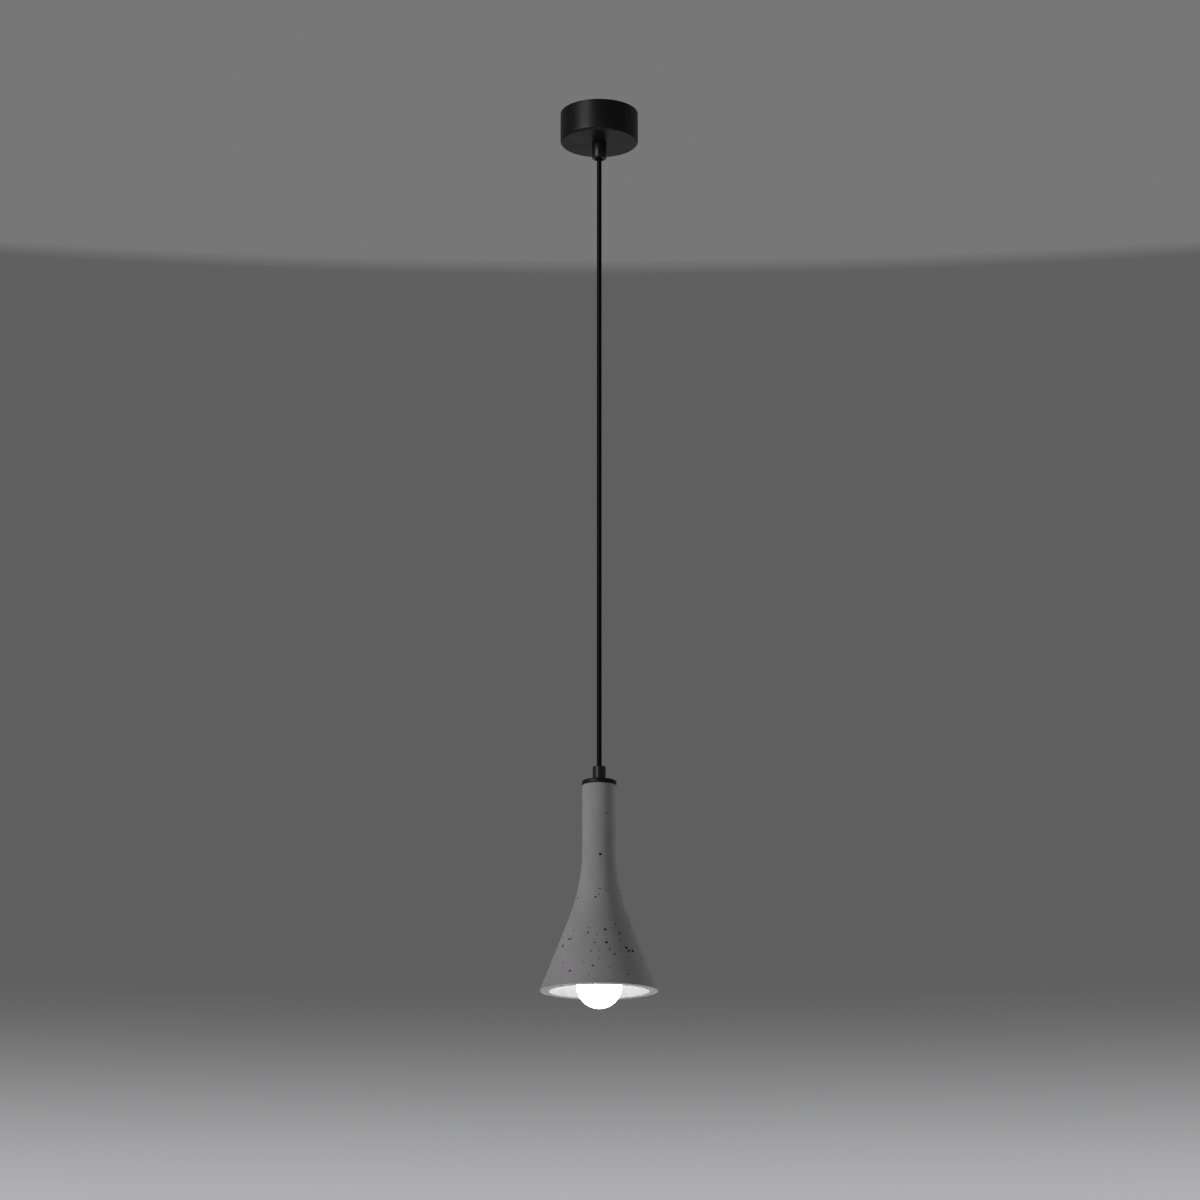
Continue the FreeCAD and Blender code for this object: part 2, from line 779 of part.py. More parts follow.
nodes = {
    "canopy_cup": canopy_cup(),
    "ceiling_bracket": ceiling_bracket(),
    "side_screws": side_screws(),
    "earth_screw": earth_screw(),
    "terminal_block": terminal_block(),
    "terminal_sleeves": terminal_sleeves(),
    "terminal_screws": terminal_screws(),
    "block_screws": block_screws(),
    "live_core": supply_core(210, -pole_pitch),
    "neutral_core": supply_core(330, pole_pitch),
    "earth_core": earth_core(90),
    "canopy_nipple": nipple(),
    "canopy_washer": ring(washer_d, rod_d + 0.4, inside_floor, inside_floor + washer_t),
    "canopy_nut": hex_nut(inside_floor + washer_t, inside_floor + washer_t + nut_h, rod_d),
    "upper_gland": hang_down(gland(upper_gland_d, upper_gland_l)),
    "upper_gland_screw": hang_down(grip_screw(upper_gland_d)),
    "canopy_cable_end": canopy_sheath(),
    "cable_flex_upper": flex_ball(upper_pivot),
    "suspension_cable_upper": disc(cable_d, cable_middle, upper_pivot - pivot_gap),
    "suspension_cable_lower": disc(cable_d, lower_pivot + pivot_gap, cable_middle),
    "cable_flex_lower": flex_ball(lower_pivot),
    "lower_gland": stand_up(gland(lower_gland_d, lower_gland_l)),
    "lower_gland_screw": stand_up(grip_screw(lower_gland_d)),
    "shade_cable_end": shade_sheath(),
    "shade_cap": shade_cap(),
    "cap_gasket": cap_gasket(),
    "concrete_shade": concrete_shade(),
    "threaded_rod": threaded_rod(),
    "ledge_gasket": ring(ledge_washer_d, bore_d, ledge - gasket_t, ledge),
    "ledge_washer": ring(ledge_washer_d, rod_d + 0.4, ledge_nut_top, ledge - gasket_t),
    "ledge_nut": hex_nut(holder_top, ledge_nut_top, rod_d),
    "holder_cap": holder_cap(),
    "holder_skirt": holder_skirt(),
    "holder_insert": holder_insert(),
    "screw_shell": screw_shell(),
    "centre_contact": centre_contact(),
    "holder_screws": holder_screws(),
    "holder_live_core": holder_core(-1),
    "holder_neutral_core": holder_core(1),
    "lamp_globe": lamp_globe(),
    "lamp_collar": lamp_collar(),
    "lamp_cap": lamp_cap(),
    "lamp_insulator": lamp_insulator(),
    "lamp_contact": lamp_contact(),
    "led_board": led_board(),
    "leds": leds(),
    "led_driver": led_driver(),
}

os.makedirs("parts", exist_ok=True)
for name, shape in nodes.items():
    if not shape.isValid() or not shape.Solids:
        raise ValueError(f"{name} is not a valid solid")
    shape.exportStep(f"parts/{name}.step")

length = upper_pivot - lower_pivot
volume = nodes["suspension_cable_upper"].Volume + nodes["suspension_cable_lower"].Volume
section = math.pi * cable_d**2 / 4
print(f"{len(nodes)} nodes")
print(f"cable: straight, visible {upper_mouth - lower_mouth:.1f} mm, pivot to pivot {length:.1f} mm")
print(f"cable volume over its section {volume / section:.2f} mm, runs {length - 2 * pivot_gap:.2f} mm")
print(f"joints at z: upper {upper_pivot:.2f}, middle {cable_middle:.2f}, lower {lower_pivot:.2f}")
print(f"rim {rim:.2f}, neck top {neck_top:.2f}, ledge {ledge:.2f}, lamp tip {lamp_tip:.2f}")
print(f"lamp bottom {lamp_bottom:.2f}, globe centre {globe_centre:.2f}")
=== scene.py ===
import json
import math
import random

import bmesh
import bpy
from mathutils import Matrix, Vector, noise


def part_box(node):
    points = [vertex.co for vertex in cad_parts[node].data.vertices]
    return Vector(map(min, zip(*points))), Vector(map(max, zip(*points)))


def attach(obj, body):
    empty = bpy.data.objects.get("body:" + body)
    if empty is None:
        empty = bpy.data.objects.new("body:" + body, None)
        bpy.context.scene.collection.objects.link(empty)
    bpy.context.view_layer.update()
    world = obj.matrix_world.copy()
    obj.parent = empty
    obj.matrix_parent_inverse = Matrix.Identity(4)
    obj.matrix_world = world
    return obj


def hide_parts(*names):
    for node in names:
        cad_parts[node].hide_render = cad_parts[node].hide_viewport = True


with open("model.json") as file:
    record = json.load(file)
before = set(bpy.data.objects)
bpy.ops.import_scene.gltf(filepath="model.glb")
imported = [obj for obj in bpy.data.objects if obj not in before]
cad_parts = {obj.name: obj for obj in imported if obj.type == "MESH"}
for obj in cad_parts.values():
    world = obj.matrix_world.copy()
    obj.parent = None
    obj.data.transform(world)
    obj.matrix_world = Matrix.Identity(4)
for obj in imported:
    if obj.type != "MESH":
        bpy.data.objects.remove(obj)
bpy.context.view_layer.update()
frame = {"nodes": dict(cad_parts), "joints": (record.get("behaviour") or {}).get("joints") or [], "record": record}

MM = 0.001
TURN = 2 * math.pi

# ---- places, read from the frame ----------------------------------------------------------

JOINTS = {j["name"]: j for j in frame["joints"]}
UPPER_PIVOT = JOINTS["swing_side"]["pos_m"][2]
LOWER_PIVOT = JOINTS["tilt_side"]["pos_m"][2]
CABLE_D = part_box("suspension_cable_upper")[1].x * 2
PITCH = next(c["ratio"] for c in frame["record"]["behaviour"]["couplings"]) * TURN


def low(node):
    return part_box(node)[0].z


def high(node):
    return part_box(node)[1].z


def radius(node):
    """How far a node reaches from the lamp's axis along X."""
    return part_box(node)[1].x


RIM = low("concrete_shade")
NECK_TOP = high("concrete_shade")
SHADE_H = NECK_TOP - RIM
CONE_ANGLE = math.radians(21.55)
RIM_EDGE = 0.9 * MM
# The box ends at the rim's rounded edge. The cone itself would run on to this radius.
RIM_R = radius("concrete_shade") + RIM_EDGE * (math.tan(CONE_ANGLE) + 1 / math.cos(CONE_ANGLE) - 1)
NECK_R = radius("shade_cap") - 0.5 * MM
LEDGE = high("ledge_gasket")


# ---- mesh helpers -------------------------------------------------------------------------


def new_piece(name, mesh):
    piece = bpy.data.objects.new(name, mesh)
    bpy.context.scene.collection.objects.link(piece)
    return piece


def rounded(corners, steps=6):
    """(r, z) points along a closed outline, whose corners (r, z, fillet) are rounded off."""
    points = []
    count = len(corners)
    for i, (r, z, fillet) in enumerate(corners):
        here = Vector((r, z))
        if not fillet:
            points.append(here)
            continue
        before = (Vector(corners[i - 1][:2]) - here).normalized()
        after = (Vector(corners[(i + 1) % count][:2]) - here).normalized()
        half = before.angle(after) / 2
        centre = here + (before + after).normalized() * (fillet / math.sin(half))
        start = here + before * (fillet / math.tan(half))
        end = here + after * (fillet / math.tan(half))
        a, b = start - centre, end - centre
        sweep = a.angle_signed(b)
        for k in range(steps + 1):
            turn = -sweep * k / steps
            spun = Vector((a.x * math.cos(turn) - a.y * math.sin(turn),
                           a.x * math.sin(turn) + a.y * math.cos(turn)))
            points.append(centre + spun)
    return points


def subdivided(points, longest):
    """The closed outline with no edge over the given length."""
    fine = []
    for a, b in zip(points, points[1:] + points[:1]):
        cuts = max(1, math.ceil((b - a).length / longest))
        fine += [a.lerp(b, k / cuts) for k in range(cuts)]
    return fine


def ring_faces(segments, rows):
    """Faces between neighbouring copies of a closed outline, all the way round."""
    faces = []
    for s in range(segments):
        t = (s + 1) % segments
        for k in range(rows):
            n = (k + 1) % rows
            faces.append((s * rows + k, t * rows + k, t * rows + n, s * rows + n))
    return faces


def lathe(name, outline, segments=128, shift=None):
    """A ring-shaped solid: a closed (r, z) outline turned about Z. shift moves each point."""
    mesh = bpy.data.meshes.new(name)
    verts = []
    for s in range(segments):
        angle = TURN * s / segments
        for r, z in outline:
            point = Vector((r * math.cos(angle), r * math.sin(angle), z))
            verts.append(shift(point) if shift else point)
    mesh.from_pydata(verts, [], ring_faces(segments, len(outline)))
    face_outwards(mesh)
    return new_piece(name, mesh)


def capped(name, profile, segments=96):
    """A solid turned about Z from an open (r, z) profile that starts and ends on the axis."""
    mesh = bpy.data.meshes.new(name)
    inner = profile[1:-1]
    verts = [Vector((0, 0, profile[0][1])), Vector((0, 0, profile[-1][1]))]
    faces = []
    rows = len(inner)
    for s in range(segments):
        angle = TURN * s / segments
        verts += [Vector((r * math.cos(angle), r * math.sin(angle), z)) for r, z in inner]
    for s in range(segments):
        t = (s + 1) % segments
        here, there = 2 + s * rows, 2 + t * rows
        faces.append((0, there, here))
        faces += [(here + k, there + k, there + k + 1, here + k + 1) for k in range(rows - 1)]
        faces.append((1, here + rows - 1, there + rows - 1))
    mesh.from_pydata(verts, [], faces)
    face_outwards(mesh)
    return new_piece(name, mesh)


def face_outwards(mesh):
    work = bmesh.new()
    work.from_mesh(mesh)
    bmesh.ops.recalc_face_normals(work, faces=work.faces)
    work.to_mesh(mesh)
    work.free()


def smooth(piece, degrees=35):
    piece.data.shade_smooth()
    piece.data.set_sharp_from_angle(angle=math.radians(degrees))
    return piece


def cut_away(piece, cutter):
    """Takes cutter's shape out of piece, and removes the cutter."""
    cut = piece.modifiers.new("cut", "BOOLEAN")
    cut.operation = "DIFFERENCE"
    cut.solver = "MANIFOLD"
    cut.object = cutter
    with bpy.context.temp_override(object=piece, active_object=piece):
        bpy.ops.object.modifier_apply(modifier=cut.name)
    bpy.data.objects.remove(cutter)
    return piece


def bar(name, start, end, diameter, segments=32):
    """A plain round bar between two points, used as a cutter."""
    work = bmesh.new()
    way = end - start
    turn = way.to_track_quat("Z", "Y").to_matrix().to_4x4()
    turn.translation = (start + end) / 2
    bmesh.ops.create_cone(
        work, cap_ends=True, segments=segments, radius1=diameter / 2, radius2=diameter / 2,
        depth=way.length, matrix=turn,
    )
    mesh = bpy.data.meshes.new(name)
    work.to_mesh(mesh)
    work.free()
    return new_piece(name, mesh)


# ---- material helpers ---------------------------------------------------------------------


class Look:
    """A Principled material, with short calls for the nodes that vary it over the surface."""

    def __init__(self, name, color, roughness, **values):
        self.material = bpy.data.materials.new(name)
        self.material.use_nodes = True
        self.tree = self.material.node_tree
        self.shader = self.tree.nodes["Principled BSDF"]
        self.shader.inputs["Base Color"].default_value = (*color, 1)
        self.shader.inputs["Roughness"].default_value = roughness
        for key, value in values.items():
            self.shader.inputs[key.replace("_", " ")].default_value = value
        self.place = self.node("ShaderNodeTexCoord").outputs["Object"]

    def node(self, kind, **settings):
        made = self.tree.nodes.new(kind)
        for key, value in settings.items():
            setattr(made, key, value)
        return made

    def join(self, source, target):
        self.tree.links.new(source, target)

    def noise(self, size, detail=4.0, rough=0.55, stretch=(1, 1, 1), distortion=0.0):
        """Noise from 0 to 1 whose features are about size metres across."""
        place = self.node("ShaderNodeMapping")
        place.inputs["Scale"].default_value = stretch
        self.join(self.place, place.inputs["Vector"])
        texture = self.node("ShaderNodeTexNoise")
        texture.inputs["Scale"].default_value = 1 / size
        texture.inputs["Detail"].default_value = detail
        texture.inputs["Roughness"].default_value = rough
        texture.inputs["Distortion"].default_value = distortion
        self.join(place.outputs["Vector"], texture.inputs["Vector"])
        return texture.outputs["Fac"]

    def dots(self, spacing, share, soft=0.35):
        """1 at scattered round dots, 0 between them. share is a dot's part of its cell."""
        texture = self.node("ShaderNodeTexVoronoi")
        texture.inputs["Scale"].default_value = 1 / spacing
        self.join(self.place, texture.inputs["Vector"])
        return self.band(texture.outputs["Distance"], share, share * (1 - soft))

    def band(self, value, start, end, low_value=0.0, high_value=1.0):
        """Maps start..end of a value onto low_value..high_value, and clamps it."""
        node = self.node("ShaderNodeMapRange", clamp=True)
        for key, number in zip(("From Min", "From Max", "To Min", "To Max"),
                               (start, end, low_value, high_value)):
            node.inputs[key].default_value = number
        self.join(value, node.inputs["Value"])
        return node.outputs["Result"]

    def product(self, a, b):
        node = self.node("ShaderNodeMath", operation="MULTIPLY")
        self.join(a, node.inputs[0])
        self.join(b, node.inputs[1])
        return node.outputs["Value"]

    def mix(self, factor, a, b):
        """Blends two colours by a factor; each may be a colour or another node's output."""
        node = self.node("ShaderNodeMix", data_type="RGBA")
        self.join(factor, node.inputs["Factor"])
        for value, target in ((a, node.inputs[6]), (b, node.inputs[7])):
            if isinstance(value, tuple):
                target.default_value = (*value, 1)
            else:
                self.join(value, target)
        return node.outputs[2]

    def color(self, output):
        self.join(output, self.shader.inputs["Base Color"])

    def roughness(self, output):
        self.join(output, self.shader.inputs["Roughness"])

    def bump(self, *layers):
        """Stacked bumps: (height output, depth in metres), the coarsest first."""
        normal = None
        for height, depth in layers:
            node = self.node("ShaderNodeBump")
            node.inputs["Strength"].default_value = 1.0
            node.inputs["Distance"].default_value = depth
            self.join(height, node.inputs["Height"])
            if normal:
                self.join(normal, node.inputs["Normal"])
            normal = node.outputs["Normal"]
        self.join(normal, self.shader.inputs["Normal"])


def paint(piece, *looks):
    piece.data.materials.clear()
    for look in looks:
        piece.data.materials.append(look.material)
    return piece


# ---- materials ----------------------------------------------------------------------------


def concrete_look(name, sand_depth):
    """Smooth cast concrete: soft grey clouds, faint warm patches, fine sand, and pinholes painted dark as painted
    shade.
    """
    look = Look(name, (0.300, 0.300, 0.304), 0.85, Specular_IOR_Level=0.25)
    clouds = look.band(look.noise(34 * MM, 5, 0.6, distortion=0.4), 0.35, 0.65)
    grey = look.mix(clouds, (0.281, 0.281, 0.285), (0.320, 0.320, 0.325))
    warm = look.band(look.noise(26 * MM, 3, 0.5, (1, 1, 0.8)), 0.54, 0.72, 0.0, 0.6)
    tinted = look.mix(warm, grey, (0.312, 0.284, 0.299))
    sand = look.noise(0.9 * MM, 4, 0.7)
    sanded = look.mix(look.band(sand, 0.38, 0.66, 0.0, 0.22), tinted, (0.388, 0.388, 0.391))
    # The pinholes are dented by the bump, and their dark colour is painted shade in the holes.
    pinhole_mask = look.product(look.dots(4.6 * MM, 0.15), look.band(look.noise(12 * MM), 0.52, 0.60))
    pinhole_shaded = look.mix(pinhole_mask, sanded, (0.105, 0.105, 0.107))
    look.color(pinhole_shaded)
    look.roughness(look.band(look.noise(6 * MM, 4), 0.3, 0.7, 0.74, 0.94))
    pits = look.band(pinhole_mask, 0.0, 1.0, 1.0, 0.0)
    look.bump((clouds, 0.08 * MM), (sand, sand_depth), (pits, 0.15 * MM))
    return look


def pore_painted_shade_look():
    """The rough wall of an air bubble in the concrete, painted nearly black as painted shade in the bubble's
    hollow.
    """
    look = Look("concrete_pore_painted_shade", (0.016, 0.016, 0.016), 0.95, Specular_IOR_Level=0.15)
    grain = look.noise(0.5 * MM, 3)
    look.color(look.mix(look.band(grain, 0.35, 0.7), (0.010, 0.010, 0.010), (0.026, 0.026, 0.027)))
    look.bump((grain, 0.05 * MM))
    return look


def coat_look():
    """Satin black powder coat, with its fine orange peel."""
    look = Look("black_powder_coat", (0.003, 0.003, 0.004), 0.44, Specular_IOR_Level=0.24)
    peel = look.noise(0.55 * MM, 2, 0.45)
    wide = look.noise(18 * MM, 3)
    look.color(look.mix(look.band(wide, 0.35, 0.7), (0.002, 0.002, 0.003), (0.004, 0.004, 0.005)))
    look.roughness(look.band(wide, 0.3, 0.7, 0.39, 0.48))
    look.bump((peel, 0.025 * MM))
    return look


def moulded_look(name, dark, light, rough, grain_size=0.3 * MM, depth=0.006 * MM, **values):
    """Moulded plastic with a fine grain and slightly uneven gloss."""
    look = Look(name, dark, rough, **values)
    cloud = look.noise(7 * MM, 4)
    look.color(look.mix(look.band(cloud, 0.35, 0.68), dark, light))
    look.roughness(look.band(cloud, 0.3, 0.7, rough * 0.85, rough * 1.15))
    look.bump((look.noise(grain_size, 3), depth))
    return look


def metal_look(name, dark, light, rough, stretch=(1, 1, 12), scratch=0.004 * MM):
    """Bare or plated metal with faint turned lines and a little tarnish."""
    look = Look(name, light, rough, Metallic=1.0)
    tarnish = look.noise(5 * MM, 5, 0.6)
    look.color(look.mix(look.band(tarnish, 0.35, 0.7), light, dark))
    lines = look.noise(1.2 * MM, 3, 0.6, stretch)
    look.roughness(look.band(lines, 0.3, 0.7, rough * 0.75, rough * 1.3))
    look.bump((lines, scratch))
    return look


def cable_look():
    """Smooth black PVC sheath, with the faint lengthwise lines of its extrusion."""
    look = Look("cable_sheath", (0.002, 0.002, 0.0025), 0.42, Specular_IOR_Level=0.06)
    lines = look.noise(0.7 * MM, 3, 0.5, (1, 1, 0.04))
    smudge = look.noise(22 * MM, 3, 0.5, (1, 1, 0.35))
    dark, light = (0.0015, 0.0015, 0.002), (0.0035, 0.0035, 0.004)
    look.color(look.mix(look.band(smudge, 0.35, 0.7), dark, light))
    look.roughness(look.band(smudge, 0.3, 0.7, 0.36, 0.48))
    look.bump((lines, 0.012 * MM))
    return look


GLOBE_STRENGTH = 8.3


def globe_look():
    """The lit opal globe: it gives the light, a little warmer and dimmer where it is thick."""
    look = Look("opal_globe", (0.93, 0.92, 0.88), 0.28, Emission_Strength=GLOBE_STRENGTH)
    haze = look.band(look.noise(9 * MM, 3), 0.3, 0.7)
    look.color(look.mix(haze, (0.92, 0.91, 0.87), (0.95, 0.94, 0.91)))
    glow = look.mix(haze, (1.0, 0.985, 0.97), (1.0, 0.995, 0.985))
    look.join(glow, look.shader.inputs["Emission Color"])
    look.bump((look.noise(0.8 * MM, 2), 0.004 * MM))
    return look


LOOKS = {
    "concrete": concrete_look("cast_concrete", 0.05 * MM),
    "concrete_inside": concrete_look("cast_concrete_inside", 0.012 * MM),
    # The pore look is painted shade for the hollows of the air bubbles.
    "pore": pore_painted_shade_look(),
    "black_coat": coat_look(),
    "black_plastic": moulded_look(
        "black_moulded", (0.002, 0.002, 0.0025), (0.005, 0.005, 0.0055), 0.34,
        Specular_IOR_Level=0.40,
    ),
    "cable_pvc": cable_look(),
    "black_steel": metal_look(
        "black_oxide_steel", (0.012, 0.012, 0.012), (0.03, 0.03, 0.03), 0.38,
    ),
    "zinc_steel": metal_look("zinc_plated_steel", (0.42, 0.41, 0.38), (0.63, 0.64, 0.66), 0.30),
    "brass": metal_look("brass_contact", (0.50, 0.33, 0.12), (0.80, 0.58, 0.26), 0.28),
    "nickel_shell": metal_look(
        "nickel_plated_shell", (0.50, 0.48, 0.44), (0.74, 0.72, 0.68), 0.20,
    ),
    "black_rubber": moulded_look("black_rubber", (0.014, 0.014, 0.014), (0.03, 0.03, 0.03), 0.75,
                                 0.5 * MM, 0.03 * MM),
    "white_plastic": moulded_look(
        "white_polyamide", (0.68, 0.67, 0.62), (0.80, 0.79, 0.75), 0.42,
    ),
    "holder_plastic": moulded_look(
        "holder_black", (0.010, 0.010, 0.010), (0.020, 0.020, 0.020), 0.34,
    ),
    "lamp_housing": moulded_look("lamp_white", (0.78, 0.78, 0.76), (0.87, 0.87, 0.85), 0.38),
    "brown_pvc": moulded_look("brown_core", (0.105, 0.045, 0.020), (0.16, 0.07, 0.03), 0.45),
    "blue_pvc": moulded_look("blue_core", (0.015, 0.085, 0.33), (0.03, 0.13, 0.45), 0.45),
    "green_pvc": moulded_look("green_core", (0.05, 0.22, 0.03), (0.09, 0.30, 0.04), 0.45),
    "led_board": moulded_look("led_board_white", (0.72, 0.73, 0.72), (0.83, 0.84, 0.83), 0.35),
    "led_chip": moulded_look("led_phosphor", (0.80, 0.62, 0.10), (0.92, 0.75, 0.18), 0.30),
    "circuit_board": moulded_look(
        "circuit_board_green", (0.02, 0.11, 0.05), (0.04, 0.18, 0.08), 0.40,
    ),
    "black_glass": moulded_look(
        "black_glass", (0.008, 0.008, 0.012), (0.018, 0.018, 0.024), 0.10,
    ),
    "opal_globe": globe_look(),
}


# ---- camera, lights, stage ----------------------------------------------------------------

VIEW_DISTANCE = 3.290
LENS = 100.2
CAMERA_BELOW_RIM = 0.4673
CAMERA_TILT = 14.772  # degrees up
CAMERA_RIGHT = 0.8 * MM


def add_camera():
    data = bpy.data.cameras.new("camera")
    data.sensor_width = 36.0
    data.lens = LENS
    data.clip_end = 50
    camera = bpy.data.objects.new("camera", data)
    camera.location = (CAMERA_RIGHT, -VIEW_DISTANCE, RIM - CAMERA_BELOW_RIM)
    camera.rotation_euler = (math.radians(90 + CAMERA_TILT), 0, 0)
    bpy.context.scene.collection.objects.link(camera)
    bpy.context.scene.camera = camera


def add_light(name, azimuth, distance, level, size, watts, up=False, glossy=True, diffuse=True):
    """A soft rectangular light that faces the lamp's axis, or straight up. Azimuth is from the
    front, in degrees."""
    data = bpy.data.lights.new(name, "AREA")
    data.shape = "RECTANGLE"
    data.size, data.size_y = size
    data.energy = watts
    light = bpy.data.objects.new(name, data)
    turn = math.radians(azimuth)
    light.location = (distance * math.sin(turn), -distance * math.cos(turn), level)
    way = Vector((0, 0, 1)) if up else Vector((-light.location.x, -light.location.y, 0))
    light.rotation_euler = way.to_track_quat("-Z", "Y").to_euler()
    light.visible_camera = False
    light.visible_glossy = glossy
    light.visible_diffuse = diffuse
    bpy.context.scene.collection.objects.link(light)


def add_floor():
    """A wide pale floor, far enough down for views from below."""
    look = Look("pale_floor", (0.62, 0.62, 0.61), 0.8)
    cloud = look.noise(0.5, 3)
    look.color(look.mix(look.band(cloud, 0.3, 0.7), (0.60, 0.60, 0.59), (0.64, 0.64, 0.63)))
    mesh = bpy.data.meshes.new("floor")
    half, level = 20.0, -4.2
    mesh.from_pydata([(-half, -half, level), (half, -half, level), (half, half, level),
                      (-half, half, level)], [], [(0, 1, 2, 3)])
    floor = paint(new_piece("floor", mesh), look)


FLOOR_GREY, WALL_GREY, CEILING_GREY = 0.45, 0.114, 0.185
CEILING_EDGE = 0.3495  # the height of the direction where the lighter band begins


def add_world():
    """An even grey studio that grows lighter towards the floor, with a lighter band above."""
    world = bpy.data.worlds.new("studio")
    world.use_nodes = True
    tree = world.node_tree
    place = tree.nodes.new("ShaderNodeTexCoord")
    split = tree.nodes.new("ShaderNodeSeparateXYZ")
    ramp = tree.nodes.new("ShaderNodeValToRGB")
    stops = [  # height of the direction, and its grey
        (0.07, FLOOR_GREY),
        (0.145, WALL_GREY),
        (CEILING_EDGE - 0.0025, WALL_GREY),
        (CEILING_EDGE + 0.0025, CEILING_GREY),
        (0.43, CEILING_GREY),
        (0.60, 0.08),
    ]
    ramp.color_ramp.interpolation = "EASE"
    elements = ramp.color_ramp.elements
    while len(elements) < len(stops):
        elements.new(0.5)
    for element, (height, grey) in zip(elements, stops):
        element.position = height
        element.color = (grey, grey, grey * 1.02, 1)
    tree.links.new(place.outputs["Generated"], split.inputs["Vector"])
    tree.links.new(split.outputs["Z"], ramp.inputs["Fac"])
    tree.links.new(ramp.outputs["Color"], tree.nodes["Background"].inputs["Color"])
    bpy.context.scene.world = world


add_camera()
add_light("key_left", -56, 2.6, -0.85, (0.95, 1.7), 35, glossy=False)
add_light("gloss_left", -42, 2.6, 0.5, (0.8, 0.8), 34, diffuse=False)
add_light("gloss_low", -56, 2.6, -0.4, (0.5, 0.7), 8, diffuse=False)
add_light("rim_right", 118, 2.4, -0.7, (0.6, 1.6), 15, glossy=False)
add_light("back_left", -165, 2.4, -0.6, (0.9, 1.8), 14, glossy=False)
add_light("from_below", 0, 0, -2.3, (0.5, 0.5), 14, up=True)
add_light("floor_sheen", 180, 5.5, -2.3, (3.0, 3.0), 17, up=True, diffuse=False)
add_floor()
add_world()
bpy.context.scene.view_settings.view_transform = "Standard"


# ---- cable --------------------------------------------------------------------------------


def hanging_cable():
    """The straight cable, from its bend in the upper grip to its bend in the lower one."""
    near = 6 * CABLE_D
    levels = [UPPER_PIVOT, UPPER_PIVOT - near, (UPPER_PIVOT + LOWER_PIVOT) / 2,
              LOWER_PIVOT + near, LOWER_PIVOT]
    data = bpy.data.curves.new("hanging_cable", "CURVE")
    data.dimensions = "3D"
    line = data.splines.new("NURBS")
    line.points.add(len(levels) - 1)
    for point, level in zip(line.points, levels):
        point.co = (0, 0, level, 1)
    line.order_u = 3
    line.use_endpoint_u = True
    line.resolution_u = 12
    data.bevel_depth = CABLE_D / 2
    data.bevel_resolution = 10
    data.use_fill_caps = True
    cable = paint(new_piece("hanging_cable", data), LOOKS["cable_pvc"])
    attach(cable, "cable")
    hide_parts("suspension_cable_upper", "suspension_cable_lower")


def cable_bend(name, level, body, node):
    """The cable's skin where it bends: a ball as thick as the cable, about the bend's centre."""
    r = CABLE_D / 2
    steps = 24
    turns = [math.pi * k / steps for k in range(steps + 1)]
    arc = [(r * math.sin(turn), level - r * math.cos(turn)) for turn in turns]
    bend = smooth(paint(capped(name, arc, 48), LOOKS["cable_pvc"]), 80)
    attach(bend, body)
    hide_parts(node)


def cable_end(name, start, end, body, node):
    """The still part of the cable, from its cut end up to the centre of its bend."""
    r = CABLE_D / 2
    edge = 0.25 * MM
    step = edge if end > start else -edge
    profile = [(0, start), (r - edge, start), (r, start + step), (r, end), (0, end)]
    stub = smooth(paint(capped(name, profile, 48), LOOKS["cable_pvc"]))
    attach(stub, body)
    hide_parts(node)


hanging_cable()
cable_bend("cable_bend_top", UPPER_PIVOT, "cable_bend_upper", "cable_flex_upper")
cable_bend("cable_bend_bottom", LOWER_PIVOT, "cable_bend_lower", "cable_flex_lower")
cable_end("cable_in_canopy", high("canopy_cable_end"), UPPER_PIVOT, "canopy", "canopy_cable_end")
cable_end("cable_in_shade", low("shade_cable_end"), LOWER_PIVOT, "shade", "shade_cable_end")


# ---- canopy -------------------------------------------------------------------------------


def canopy():
    wall, bottom, top = 1.2 * MM, low("canopy_cup"), high("canopy_cup")
    r = radius("canopy_cup")
    hole_r = radius("canopy_nipple") + 0.05 * MM
    outline = rounded([
        (hole_r, bottom, 0.15 * MM),
        (r, bottom, 2.2 * MM),
        (r, top, 0.25 * MM),
        (r - wall, top, 0.25 * MM),
        (r - wall, bottom + wall, 1.0 * MM),
        (hole_r, bottom + wall, 0.15 * MM),
    ], 8)
    shell = lathe("canopy_shell", subdivided(outline, 4 * MM), 256)
    screw_level = (low("side_screws") + high("side_screws")) / 2
    reach = Vector((2 * r, 0, 0))
    middle = Vector((0, 0, screw_level))
    screw_hole_d = 4.2 * MM
    cut_away(shell, bar("hole", middle - reach, middle + reach, screw_hole_d, 48))
    smooth(paint(shell, LOOKS["black_coat"]))
    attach(shell, "canopy")
    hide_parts("canopy_cup")


